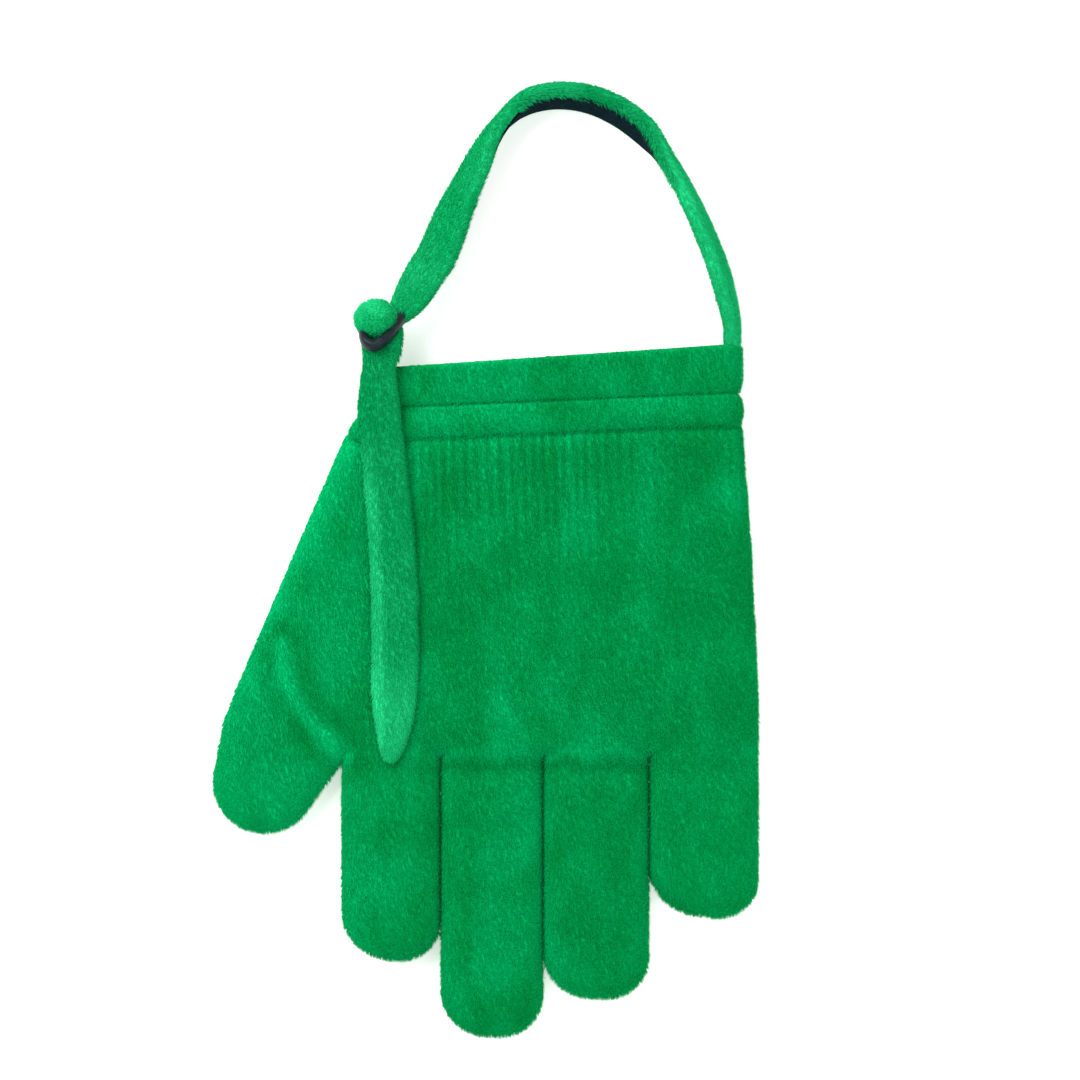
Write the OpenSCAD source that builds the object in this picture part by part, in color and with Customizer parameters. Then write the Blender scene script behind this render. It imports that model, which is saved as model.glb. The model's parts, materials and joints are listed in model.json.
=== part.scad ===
// A puppeteer's plush hand glove for a moving mouth puppet: five fingers, a gathered cuff and a
// carrying loop of plush strap that doubles back through a keeper ring. It lies palm up on a table,
// fingers towards -Y, loop towards +Y, +Z up. The origin is under the middle of the whole object.

/* [Cloth] */
// Thickness of the glove lying empty, front to back
glove_t = 16; // [14:1:20]
// Thickness of one layer of plush
wall = 3.2; // [2.4:0.2:4]
// Gap between pieces that move against each other
joint_gap = 0.3; // [0.3:0.1:0.6]

/* [Fingers] */
// Line across the glove where the fingers bend
knuckle_y = -80; // [-82:1:-79]
// Reach of the tip segment as a share of a finger's length
tip_share = 0.49; // [0.46:0.01:0.52]

/* [Cuff] */
// Thickness of the cuff, front to back
cuff_t = 19; // [18:1:21]
// Thickness of the doubled plush in the cuff
cuff_wall = 4.6; // [4:0.2:5]
// Slope of the two sewn lines across the cuff, in degrees
seam_slope = 2.4; // [1:0.1:4]
// Width of the elastic inside the casing
elastic_w = 8; // [6:1:9]
// Distance from one stitch to the next
stitch_pitch = 6; // [4:1:8]

/* [Loop] */
// Thickness of the strap's plush
strap_t = 4; // [3:0.5:5]
// Thickness of the hook-and-loop tape on the strap
tape_t = 1.4; // [1:0.2:2]
// How much narrower than the plush the tape is, on each side
tape_inset = 1; // [0.5:0.5:2]

/* [Keeper ring] */
// Width of the ring between bar centres
ring_w = 15.6; // [15:0.2:17]
// Length of the ring between bar centres
ring_l = 18.4; // [17:0.2:19]
// Radius of the ring's bar
bar_r = 1.4; // [1.2:0.1:1.6]
// Tilt of the ring out of the table plane, in degrees
ring_tilt = 45; // [40:1:48]
// Turn of the ring seen from above, in degrees
ring_turn = -10; // [-14:1:0]

/* [Hidden] */
$fn = 64;
half_t = glove_t / 2;
far = 400;

// name, left side, right side, tip
INDEX = ["index", -55.1, -17.6, -153.2];
MIDDLE = ["middle", -17.0, 21.3, -181.5];
RING = ["ring", 22.0, 61.6, -168];
LITTLE = ["little", 62.3, 103.7, -136.6];

// thumb: the outer edge of the glove, the line where the tip bends and the fold beside the palm
thumb_edge_top = [-50.9, 53.4];
thumb_edge_low = [-96.1, -58.6];
thumb_lean = atan2(thumb_edge_top[0] - thumb_edge_low[0], thumb_edge_top[1] - thumb_edge_low[1]);
thumb_web = [-55.3, -76];
thumb_tip_c = [-84.3, -84.7];
thumb_tip_r = 19.4;
fold_x = -55.3;

// cuff: ends in X, and the heights of its lines where they cross X = 0
cuff_left = -48.6;
cuff_right = 97.6;
low_seam_y = 46.6;
high_seam_y = 58.9;
hem_top_left = [cuff_left, 72.2];
hem_top_right = [cuff_right, 82.2];

// right edge of the glove below the cuff
side_top = [98.6, 60];
side_low = [103.7, -90];

// loop: X, Y, lean of the strap (positive leans outwards) and half of its width, from the cuff's
// right end round the arc to the ring
LOOP_ROUTE = [
    [90.3, 84, 0, 4.5], [90, 90, 0, 6], [88.5, 98, 0, 7.5], [86.5, 106, 2, 9], [83.5, 115, 4, 9],
    [80, 124, 5, 9], [76, 133, 6, 9], [71.5, 142, 8, 9], [65.5, 151, 14, 9], [58, 159.5, 20, 9],
    [49, 167, 24, 9], [39, 172, 26, 9], [28, 174, 26, 9], [18, 172, 24, 9], [10, 166.5, 16, 9],
    [4.5, 159, 2, 9], [0, 150, -14, 9], [-4.5, 141, -28, 9], [-9, 132, -40, 9], [-13, 123, -50, 9],
    [-17, 114, -56, 8.5], [-20.5, 106, -60, 8], [-23, 100.5, -62, 7]
];

// height of the strap's end where it is gathered into the cuff
anchor_w = 5.2;

// tail: X, Y and half of its width, from the ring to its tip
TAIL_ROUTE = [
    [-39.5, 80, 7.4], [-41, 62, 7.8], [-40, 44, 8.2], [-38.4, 27, 8.5], [-36.6, 10, 8.8],
    [-35.6, -8, 9], [-35.2, -28, 9], [-35.3, -46, 9], [-35.6, -56, 8.4], [-36, -66, 6.6],
    [-36.6, -73, 4.6], [-37.2, -77.6, 1.6]
];
tail_rest_z = cuff_t + 0.8;
tail_slope = 1;

// keeper ring: the bar that the tab holds, and the ball of folded strap in front of it
ring_bar = [-41.5, 96.5, 14.1];
ring_corner = 3.5;
eye_len = 8.2;
fit = 0.08;
ball_r = 7.4;
ball_at = [0, -10.5, 2.2];
neck_r = 5.8;

PLUSH = "#0a9a50";
PLUSH_LIGHT = "#22b26c";
TAPE = "#172a31";
THREAD = "#0b7a40";
ELASTIC = "#e8e4da";

// ---- shared shapes

function finger_mid(f) = knuckle_y - (knuckle_y - f[3]) * (1 - tip_share);

function seam_y(y0, x) = y0 + x * tan(seam_slope);

module upper(mid) {
    intersection() {
        children();
        translate([-far, -far, mid]) cube([2 * far, 2 * far, far]);
    }
}

module lower(mid) {
    intersection() {
        children();
        translate([-far, -far, mid - far]) cube([2 * far, 2 * far, far]);
    }
}

// round rod lying from a to b at height z
module rod(a, b, z, r) {
    d = b - a;
    translate([a[0], a[1], z])
        rotate([0, 0, atan2(d[1], d[0])])
            rotate([0, 90, 0])
                cylinder(h = norm(d), r = r);
}

// flat tube of width w and thickness t that runs from y = 0 to y = -len, with round sides
module flat_tube(w, len, t) {
    translate([-(w - t) / 2, -len, -t / 2]) cube([w - t, len, t]);
    for (side = [-1, 1])
        translate([side * (w - t) / 2, 0, 0]) rotate([90, 0, 0]) cylinder(h = len, d = t);
}

// the same tube, closed by a round tip at y = -len
module tube_tip(w, len, t) {
    flat_tube(w, len - w / 2, t);
    translate([0, -(len - w / 2), 0])
        rotate([0, 0, 180])
            rotate_extrude(angle = 180) {
                translate([0, -t / 2]) square([(w - t) / 2, t]);
                translate([(w - t) / 2, 0]) intersection() {
                    circle(d = t);
                    translate([0, -t]) square([t, 2 * t]);
                }
            }
}

// ---- fingers

module finger_base(f) {
    w = f[2] - f[1];
    len = knuckle_y - finger_mid(f) - joint_gap / 2;
    translate([(f[1] + f[2]) / 2, knuckle_y, half_t]) difference() {
        flat_tube(w, len, glove_t);
        translate([0, 1, 0]) flat_tube(w - 2 * wall, len + 2, glove_t - 2 * wall);
    }
}

module finger_tip(f) {
    w = f[2] - f[1];
    start = finger_mid(f) - joint_gap / 2;
    len = start - f[3];
    translate([(f[1] + f[2]) / 2, start, half_t]) difference() {
        tube_tip(w, len, glove_t);
        tube_tip(w - 2 * wall, len - wall, glove_t - 2 * wall);
        translate([0, 1, 0]) flat_tube(w - 2 * wall, 2, glove_t - 2 * wall);
    }
}

module finger_base_front(f) { color(PLUSH) upper(half_t) finger_base(f); }
module finger_base_back(f) { color(PLUSH) lower(half_t) finger_base(f); }
module finger_tip_front(f) { color(PLUSH) upper(half_t) finger_tip(f); }
module finger_tip_back(f) { color(PLUSH) lower(half_t) finger_tip(f); }

// ---- palm and thumb

// the whole hand below the cuff, drawn in by i on every side
module hand(i) {
    in_edge = [cos(thumb_lean), -sin(thumb_lean)] * i;
    reach = [sin(thumb_lean), cos(thumb_lean)] * 30;
    in_side = [i, 0];
    translate([0, 0, i]) linear_extrude(glove_t - 2 * i)
        polygon([
            thumb_edge_top + in_edge + reach, thumb_edge_low + in_edge - reach,
            side_low - in_side, side_top - in_side
        ]);
}

// areas of the hand, seen from above
module palm_area() {
    polygon([
        [fold_x + joint_gap / 2, knuckle_y + joint_gap / 2],
        [far, knuckle_y + joint_gap / 2],
        [far, seam_y(low_seam_y, far)],
        [fold_x + joint_gap / 2, seam_y(low_seam_y, fold_x)]
    ]);
}

module thumb_base_area() {
    gap = [sin(thumb_lean), cos(thumb_lean)] * joint_gap / 2;
    polygon([
        [-130, 60],
        thumb_edge_low + gap + (thumb_edge_low - thumb_web) * 0.2,
        thumb_web + gap - [joint_gap / 2, 0],
        [fold_x - joint_gap / 2, 60]
    ]);
}

module thumb_tip_outline(i) {
    gap = -[sin(thumb_lean), cos(thumb_lean)] * joint_gap / 2;
    along = (thumb_edge_low - thumb_web) / norm(thumb_edge_low - thumb_web);
    a = thumb_web + gap + along * i;
    b = thumb_edge_low + gap - along * i;
    r = thumb_tip_r - i;
    out = [-cos(thumb_lean), sin(thumb_lean)] * r;
    polygon([b, thumb_tip_c + out, thumb_tip_c - out, a]);
    translate(thumb_tip_c) circle(r = r);
}

// the plush of the hand over one area, as the panel in front or the panel behind
module hand_front() {
    intersection() {
        upper(half_t) difference() { hand(0); hand(wall); }
        translate([0, 0, -1]) linear_extrude(glove_t + 2) children();
    }
}

module hand_back() {
    intersection() {
        lower(half_t) difference() { hand(0); hand(wall); }
        translate([0, 0, -1]) linear_extrude(glove_t + 2) children();
    }
}

module thumb_tip() {
    difference() {
        linear_extrude(glove_t) thumb_tip_outline(0);
        translate([0, 0, wall]) linear_extrude(glove_t - 2 * wall) thumb_tip_outline(wall);
    }
}

module palm_front() { color(PLUSH) hand_front() palm_area(); }
module palm_back() { color(PLUSH) hand_back() palm_area(); }
module thumb_base_front() { color(PLUSH) hand_front() thumb_base_area(); }
module thumb_base_back() { color(PLUSH) hand_back() thumb_base_area(); }
module thumb_tip_front() { color(PLUSH) upper(half_t) thumb_tip(); }
module thumb_tip_back() { color(PLUSH) lower(half_t) thumb_tip(); }

// ---- cuff

// the cuff's flat tube over its whole height, drawn in by i on every side
module cuff_tube(i) {
    w = cuff_right - cuff_left;
    translate([(cuff_left + cuff_right) / 2, 100, cuff_t / 2])
        flat_tube(w - 2 * i, 80, cuff_t - 2 * i);
}

module between_seams(y0, y1) {
    translate([0, 0, -1]) linear_extrude(cuff_t + 2)
        polygon([
            [-100, seam_y(y0, -100)], [200, seam_y(y0, 200)],
            [200, seam_y(y1, 200)], [-100, seam_y(y1, -100)]
        ]);
}

module elastic_ring(play) {
    mid = (low_seam_y + high_seam_y) / 2;
    half = elastic_w / 2 + play;
    intersection() {
        difference() {
            cuff_tube(cuff_wall / 2 - 0.6 - play);
            cuff_tube(cuff_wall / 2 + 0.6 + play);
        }
        between_seams(mid - half, mid + half);
    }
}

module casing() {
    intersection() {
        difference() { cuff_tube(0); cuff_tube(cuff_wall); elastic_ring(0.1); }
        between_seams(low_seam_y, high_seam_y);
    }
}

module hem() {
    intersection() {
        difference() { cuff_tube(0); cuff_tube(cuff_wall); }
        translate([0, 0, -1]) linear_extrude(cuff_t + 2)
            polygon([
                [cuff_left, seam_y(high_seam_y, cuff_left)], [cuff_right, seam_y(high_seam_y, cuff_right)],
                hem_top_right, hem_top_left
            ]);
    }
}

module casing_front() { color(PLUSH) upper(cuff_t / 2) casing(); }
module casing_back() { color(PLUSH) lower(cuff_t / 2) casing(); }
module hem_front() { color(PLUSH) upper(cuff_t / 2) hem(); }
module hem_back() { color(PLUSH) lower(cuff_t / 2) hem(); }
module cuff_elastic() { color(ELASTIC) elastic_ring(0); }

module cuff_stitching() {
    first = cuff_left + cuff_t;
    last = cuff_right - cuff_t / 2;
    color(THREAD)
        for (y0 = [low_seam_y + 1.5, high_seam_y - 1.5], x = [first : stitch_pitch : last - 4])
            translate([x, seam_y(y0, x), cuff_t]) rotate([0, 0, seam_slope]) cube([3.6, 0.6, 0.4]);
}

// ---- loop

function route_dir(i) =
    let (
        a = LOOP_ROUTE[max(i - 1, 0)],
        b = LOOP_ROUTE[min(i + 1, len(LOOP_ROUTE) - 1)],
        d = [b[0] - a[0], b[1] - a[1]]
    ) d / norm(d);

// corner of the strap's section: u across its width, m from its inner to its outer face
function strap_point(i, u, m) =
    let (
        p = LOOP_ROUTE[i],
        d = route_dir(i),
        out = [d[1], -d[0]],
        lean = p[2],
        rise = p[3] * cos(lean) + strap_t * abs(sin(lean)) + 0.4,
        h = u * sin(lean) + m * cos(lean)
    )
    [p[0] + out[0] * h, p[1] + out[1] * h, rise + u * cos(lean) - m * sin(lean)];

function strap_section(i, inset, m0, m1) =
    let (u = LOOP_ROUTE[i][3] - inset)
    [strap_point(i, -u, m0), strap_point(i, u, m0), strap_point(i, u, m1), strap_point(i, -u, m1)];

module strap_band(inset, m0, m1, first, last) {
    points = [for (i = [first : last]) each strap_section(i, inset, m0, m1)];
    rings = last - first + 1;
    // the outer face is split along the same diagonal as the inner one, so that layers lie parallel
    sides = [
        for (r = [0 : rings - 2], k = [0 : 3])
            let (a = 4 * r + k, b = 4 * r + (k + 1) % 4)
                each k == 2 ? [[a, b, a + 4], [b, b + 4, a + 4]] : [[a, b, b + 4], [a, b + 4, a + 4]]
    ];
    end = 4 * (rings - 1);
    caps = [[0, 3, 2], [0, 2, 1], [end, end + 1, end + 2], [end, end + 2, end + 3]];
    polyhedron(points = points, faces = concat(sides, caps), convexity = 6);
}

module strap_plush() {
    color(PLUSH_LIGHT) strap_band(0, 0, strap_t, 0, len(LOOP_ROUTE) - 1);
}

module strap_tape() {
    color(TAPE) strap_band(tape_inset, -tape_t, -0.2, 6, len(LOOP_ROUTE) - 1);
}

// the strap's end, sewn flat inside the hem
module strap_anchor() {
    color(PLUSH_LIGHT)
        translate([88, 66, cuff_t / 2 - anchor_w / 2]) cube([strap_t, 17, anchor_w]);
}

// a box of stitches through the hem over the anchor
module anchor_stitching() {
    box = 11;
    color(THREAD)
        translate([80, 67, cuff_t]) {
            for (x = [0, box]) translate([x, 0, 0]) cube([0.6, box, 0.4]);
            for (y = [0, box - 0.6]) translate([0.6, y, 0]) cube([box - 0.6, 0.6, 0.4]);
        }
}

// ---- keeper ring

// place in the ring's own frame: its upper bar along X, the rest of it towards -Y
module at_ring() {
    translate(ring_bar) rotate([0, 0, ring_turn]) rotate([-ring_tilt, 0, 0]) children();
}

module ring_bars(r) {
    half_w = ring_w / 2;
    for (y = [0, -ring_l])
        translate([-half_w + ring_corner, y, 0]) rotate([0, 90, 0]) cylinder(h = ring_w - 2 * ring_corner, r = r);
    for (x = [-half_w, half_w])
        translate([x, -ring_corner, 0]) rotate([90, 0, 0]) cylinder(h = ring_l - 2 * ring_corner, r = r);
    for (c = [[1, 0, 0], [-1, 0, 90], [-1, -1, 180], [1, -1, 270]])
        translate([c[0] * (half_w - ring_corner), c[1] == 0 ? -ring_corner : ring_corner - ring_l, 0])
            rotate([0, 0, c[2]])
                rotate_extrude(angle = 90) translate([ring_corner, 0]) circle(r = r);
}

module keeper_ring() { color(TAPE) at_ring() ring_bars(bar_r); }

// plush strap bunched in front of the ring, with the neck that comes through it
module strap_fold() {
    front = bar_r + 0.1;
    color(PLUSH_LIGHT) at_ring() {
        difference() {
            translate(ball_at) sphere(r = ball_r);
            translate([-20, -30, front - 40]) cube(40);
        }
        translate([ball_at[0], ball_at[1], -2.5]) cylinder(h = front + 4, r = neck_r);
    }
}

// sewn inside the front of the hem, with an eye that the ring turns in
module ring_tab() {
    eye_r = 2.9;
    eye_end = [cos(ring_turn), sin(ring_turn)] * eye_len / 2;
    bar = [ring_bar[0], ring_bar[1]];
    color(PLUSH) difference() {
        union() {
            rod(bar - eye_end, bar + eye_end, ring_bar[2], eye_r);
            translate([0, 0, ring_bar[2] - eye_r]) linear_extrude(eye_r)
                polygon([[-38, 64], [-30.5, 64], bar + eye_end, bar - eye_end]);
        }
        rod(bar - 3 * eye_end, bar + 3 * eye_end, ring_bar[2], bar_r + fit);
    }
}

// ---- tail

module tail_outline(inset) {
    left = [for (p = TAIL_ROUTE) [p[0] - max(p[2] - inset, 0.6), p[1]]];
    right = [for (i = [len(TAIL_ROUTE) - 1 : -1 : 0])
        [TAIL_ROUTE[i][0] + max(TAIL_ROUTE[i][2] - inset, 0.6), TAIL_ROUTE[i][1]]];
    polygon(concat(left, right));
}

module tail_layer(z0, z1, inset) {
    top = TAIL_ROUTE[0][1];
    translate([0, top, tail_rest_z]) rotate([tail_slope, 0, 0]) translate([0, -top, z0])
        linear_extrude(z1 - z0) tail_outline(inset);
}

module tail_plush() { color(PLUSH_LIGHT) tail_layer(tape_t, tape_t + strap_t, 0); }
module tail_tape() { color(TAPE) tail_layer(0, tape_t, tape_inset); }

// ---- nodes

palm_front();
palm_back();
casing_front();
casing_back();
hem_front();
hem_back();
cuff_elastic();
cuff_stitching();
strap_anchor();
anchor_stitching();
ring_tab();
thumb_base_front();
thumb_base_back();
thumb_tip_front();
thumb_tip_back();
for (f = [INDEX, MIDDLE, RING, LITTLE]) {
    finger_base_front(f);
    finger_base_back(f);
    finger_tip_front(f);
    finger_tip_back(f);
}
strap_plush();
strap_tape();
keeper_ring();
strap_fold();
tail_plush();
tail_tape();
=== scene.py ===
import json
import math

import bmesh
import bpy
import numpy as np
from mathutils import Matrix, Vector, noise


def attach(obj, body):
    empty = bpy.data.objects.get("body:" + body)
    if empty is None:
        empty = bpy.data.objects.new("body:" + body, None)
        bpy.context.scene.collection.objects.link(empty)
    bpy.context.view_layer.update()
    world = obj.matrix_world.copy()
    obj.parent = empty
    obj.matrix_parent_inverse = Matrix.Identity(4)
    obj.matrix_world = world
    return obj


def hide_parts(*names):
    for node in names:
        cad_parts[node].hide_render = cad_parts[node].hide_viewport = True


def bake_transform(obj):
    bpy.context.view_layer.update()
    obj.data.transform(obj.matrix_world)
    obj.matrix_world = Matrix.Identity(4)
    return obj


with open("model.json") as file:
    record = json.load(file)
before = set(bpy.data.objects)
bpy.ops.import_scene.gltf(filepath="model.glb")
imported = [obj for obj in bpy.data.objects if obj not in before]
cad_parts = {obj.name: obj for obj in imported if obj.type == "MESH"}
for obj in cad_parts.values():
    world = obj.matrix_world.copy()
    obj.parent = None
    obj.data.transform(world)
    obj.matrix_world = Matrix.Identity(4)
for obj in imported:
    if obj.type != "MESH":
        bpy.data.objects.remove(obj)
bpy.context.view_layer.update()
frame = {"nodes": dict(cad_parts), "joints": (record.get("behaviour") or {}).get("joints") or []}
mm = 0.001
joints = {j["name"]: j for j in frame["joints"]}
collection = bpy.context.scene.collection
print("frame loaded,", len(frame["nodes"]), "nodes")


# camera, floor and light

studio = {
    "lens": 80,
    "sensor": 36,
    "aim": (20.5, 7.0),  # where the camera looks, in mm
    "height": 922,
    "floorDrop": 0.4,
    "floorReach": 14.0,
    "floorGlow": 0.42,
    "keyPower": 11.5,
    "fillPower": 4.0,
    "worldStrength": 0.78,
}


def addLight(name, place, size, power):
    data = bpy.data.lights.new(name, "AREA")
    data.size = size
    data.energy = power
    light = bpy.data.objects.new(name, data)
    light.location = place
    light.rotation_euler = (-Vector(place)).to_track_quat("-Z", "Y").to_euler()
    collection.objects.link(light)
    return light


def makeStudio():
    s = studio
    data = bpy.data.cameras.new("camera")
    data.lens = s["lens"]
    data.sensor_width = s["sensor"]
    data.clip_start = 0.01
    cam = bpy.data.objects.new("camera", data)
    cam.location = (s["aim"][0] * mm, s["aim"][1] * mm, s["height"] * mm)
    collection.objects.link(cam)
    scene = bpy.context.scene
    scene.camera = cam
    scene.view_settings.view_transform = "Standard"

    addLight("key", (-0.55, 0.45, 0.9), 0.7, s["keyPower"])
    addLight("fill", (0.7, -0.5, 0.8), 0.9, s["fillPower"])
    world = bpy.data.worlds.new("studio")
    scene.world = world
    world.use_nodes = True
    back = world.node_tree.nodes["Background"]
    back.inputs["Color"].default_value = (1, 1, 1, 1)
    back.inputs["Strength"].default_value = s["worldStrength"]

    mesh = bpy.data.meshes.new("floor")
    r, z = s["floorReach"], -s["floorDrop"] * mm
    mesh.from_pydata([(-r, -r, z), (r, -r, z), (r, r, z), (-r, r, z)], [], [(0, 1, 2, 3)])
    floor = bpy.data.objects.new("floor", mesh)
    collection.objects.link(floor)
    mat = bpy.data.materials.new("floorPaper")
    mat.use_nodes = True
    paper = mat.node_tree.nodes["Principled BSDF"]
    paper.inputs["Base Color"].default_value = (0.9, 0.9, 0.9, 1)
    paper.inputs["Roughness"].default_value = 0.9
    paper.inputs["Emission Color"].default_value = (1, 1, 1, 1)
    paper.inputs["Emission Strength"].default_value = s["floorGlow"]
    mesh.materials.append(mat)


makeStudio()
print("studio made")


# shader node groups that several materials share

def addGroup(name, inputs, outputs):
    tree = bpy.data.node_groups.new(name, "ShaderNodeTree")
    for kind, label, value in inputs:
        sock = tree.interface.new_socket(label, in_out="INPUT", socket_type="NodeSocket" + kind)
        sock.default_value = value
    for kind, label in outputs:
        tree.interface.new_socket(label, in_out="OUTPUT", socket_type="NodeSocket" + kind)
    return tree, tree.nodes.new("NodeGroupInput"), tree.nodes.new("NodeGroupOutput")


def node(tree, kind, settings=None, **inputs):
    made = tree.nodes.new(kind)
    for key, value in (settings or {}).items():
        setattr(made, key, value)
    for key, value in inputs.items():
        made.inputs[key.replace("_", " ")].default_value = value
    return made


def noiseAt(tree, vector, scale, detail=2.0, roughness=0.5, distortion=0.0):
    made = node(tree, "ShaderNodeTexNoise", None, Scale=scale, Detail=detail,
                Roughness=roughness, Distortion=distortion)
    tree.links.new(vector, made.inputs["Vector"])
    return made.outputs["Fac"]


def mixColor(tree, factor, a, b, blend="MIX"):
    made = node(tree, "ShaderNodeMix", {"data_type": "RGBA", "blend_type": blend})
    for sock, value in zip((made.inputs[0], made.inputs[6], made.inputs[7]), (factor, a, b)):
        if isinstance(value, bpy.types.NodeSocket):
            tree.links.new(value, sock)
        else:
            sock.default_value = value
    return made.outputs[2]


def rangeOf(tree, value, low, high, toLow=0.0, toHigh=1.0):
    made = node(tree, "ShaderNodeMapRange", None, From_Min=low, From_Max=high,
                To_Min=toLow, To_Max=toHigh)
    tree.links.new(value, made.inputs["Value"])
    return made.outputs["Result"]


def makePlushShade():
    tree, given, out = addGroup(
        "plushShade",
        [("Color", "Root", (0, 0.1, 0.02, 1)), ("Color", "Tip", (0, 0.3, 0.07, 1)),
         ("Color", "BrushedAndHighlight", (0.02, 0.4, 0.12, 1)), ("Float", "Height", 1.0),
         ("Float", "Patches", 0.5), ("Float", "PaintedLightAndTone", 0.0)],
        [("Color", "Color"), ("Float", "Nap")])
    place = tree.nodes.new("ShaderNodeTexCoord").outputs["Object"]
    stretch = node(tree, "ShaderNodeMapping", None, Scale=(1.0, 0.45, 1.0))
    tree.links.new(place, stretch.inputs["Vector"])
    patches = rangeOf(tree, noiseAt(tree, stretch.outputs["Vector"], 55, 3, 0.6, 0.6), 0.36, 0.68)
    specks = rangeOf(tree, noiseAt(tree, place, 420, 2, 0.6), 0.3, 0.75)
    fine = rangeOf(tree, noiseAt(tree, place, 1500, 1), 0.3, 0.7)
    amount = node(tree, "ShaderNodeMath", {"operation": "MULTIPLY"})
    tree.links.new(patches, amount.inputs[0])
    tree.links.new(given.outputs["Patches"], amount.inputs[1])
    body = mixColor(tree, given.outputs["Height"], given.outputs["Root"], given.outputs["Tip"])
    brushedAndHighlight = mixColor(tree, amount.outputs[0], body, given.outputs["BrushedAndHighlight"])
    speckled = mixColor(tree, rangeOf(tree, specks, 0, 1, 0.16, 0.0), brushedAndHighlight, given.outputs["Root"])
    # the tone input paints light and shade: above zero it mixes toward the brushed colour as a painted
    # highlight, below zero toward the root colour as painted shade
    tone = given.outputs["PaintedLightAndTone"]
    light = mixColor(tree, rangeOf(tree, tone, 0, 1), speckled, given.outputs["BrushedAndHighlight"])
    dark = mixColor(tree, rangeOf(tree, tone, -1, 0, 0.8, 0.0), light, given.outputs["Root"])
    tree.links.new(dark, out.inputs["Color"])
    nap = node(tree, "ShaderNodeMath", {"operation": "MULTIPLY_ADD"})
    tree.links.new(fine, nap.inputs[0])
    nap.inputs[1].default_value = 0.6
    tree.links.new(specks, nap.inputs[2])
    tree.links.new(nap.outputs[0], out.inputs["Nap"])
    return tree


plushShade = makePlushShade()


def newMaterial(name, roughness, sheen=0.0, sheenTint=(1, 1, 1, 1), sheenRough=0.5, specular=0.5):
    mat = bpy.data.materials.new(name)
    mat.use_nodes = True
    tree = mat.node_tree
    shader = tree.nodes["Principled BSDF"]
    shader.inputs["Roughness"].default_value = roughness
    shader.inputs["Sheen Weight"].default_value = sheen
    shader.inputs["Sheen Tint"].default_value = sheenTint
    shader.inputs["Sheen Roughness"].default_value = sheenRough
    shader.inputs["Specular IOR Level"].default_value = specular
    return mat, tree, shader


def addBump(tree, shader, height, strength, distance):
    bump = node(tree, "ShaderNodeBump", None, Strength=strength, Distance=distance)
    tree.links.new(height, bump.inputs["Height"])
    tree.links.new(bump.outputs["Normal"], shader.inputs["Normal"])


# plush colours: the brushed colour is also the painted highlight colour, and the second set is a
# lighter copy of the same plush, painted light for the strap, tail and ball
plush = {
    "root": (0.0003, 0.265, 0.055, 1),
    "tip": (0.0005, 0.440, 0.092, 1),
    "brushedAndHighlight": (0.0009, 0.570, 0.185, 1),
    "litRoot": (0.0010, 0.330, 0.090, 1),
    "litTip": (0.0030, 0.515, 0.155, 1),
    "litBrushedAndHighlight": (0.0220, 0.700, 0.275, 1),
}


def plushMaterial(name, root, tip, brushedAndHighlight, isPile):
    mat, tree, shader = newMaterial(name, 0.9, 0.1, (0.02, 1.0, 0.4, 1), 0.4, 0.015)
    shade = node(tree, "ShaderNodeGroup", {"node_tree": plushShade})
    for label, colour in (("Root", root), ("Tip", tip), ("BrushedAndHighlight", brushedAndHighlight)):
        shade.inputs[label].default_value = plush[colour]
    shade.inputs["Height"].default_value = 0.35
    # the tone attribute holds painted highlight and painted shade, with random tone
    tone = node(tree, "ShaderNodeAttribute", {"attribute_name": "tone"})
    tree.links.new(tone.outputs["Fac"], shade.inputs["PaintedLightAndTone"])
    if isPile:
        height = node(tree, "ShaderNodeAttribute", {"attribute_name": "pileHeight"})
        tree.links.new(rangeOf(tree, height.outputs["Fac"], 0, 1, 0.3, 1.0), shade.inputs["Height"])
    else:
        addBump(tree, shader, shade.outputs["Nap"], 0.8, 0.0006)
    tree.links.new(shade.outputs["Color"], shader.inputs["Base Color"])
    return mat


cloth = plushMaterial("plushCloth", "root", "tip", "brushedAndHighlight", False)
pile = plushMaterial("plushPile", "root", "tip", "brushedAndHighlight", True)
# the strap, tail and ball get the glove's plush painted lighter, as painted light
litCloth = plushMaterial("strapClothLit", "litRoot", "litTip", "litBrushedAndHighlight", False)
litPile = plushMaterial("strapPileLit", "litRoot", "litTip", "litBrushedAndHighlight", True)


def tapeMaterial():
    mat, tree, shader = newMaterial("loopTape", 0.95, specular=0.02)
    place = tree.nodes.new("ShaderNodeTexCoord").outputs["Object"]
    loops = node(tree, "ShaderNodeTexVoronoi", None, Scale=1400)
    tree.links.new(place, loops.inputs["Vector"])
    weave = noiseAt(tree, place, 600, 3, 0.6)
    tone = rangeOf(tree, weave, 0.3, 0.7)
    tree.links.new(mixColor(tree, tone, (0.001, 0.006, 0.009, 1), (0.004, 0.020, 0.027, 1)),
                   shader.inputs["Base Color"])
    addBump(tree, shader, loops.outputs["Distance"], 0.9, 0.0004)
    return mat


def ringMaterial():
    mat, tree, shader = newMaterial("ringPlastic", 0.4, specular=0.2)
    place = tree.nodes.new("ShaderNodeTexCoord").outputs["Object"]
    scuff = noiseAt(tree, place, 300, 4, 0.6)
    tree.links.new(mixColor(tree, rangeOf(tree, scuff, 0.4, 0.75), (0.004, 0.010, 0.013, 1),
                            (0.012, 0.026, 0.032, 1)), shader.inputs["Base Color"])
    tree.links.new(rangeOf(tree, scuff, 0.3, 0.75, 0.3, 0.55), shader.inputs["Roughness"])
    addBump(tree, shader, noiseAt(tree, place, 900, 2), 0.15, 0.0002)
    return mat


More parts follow.
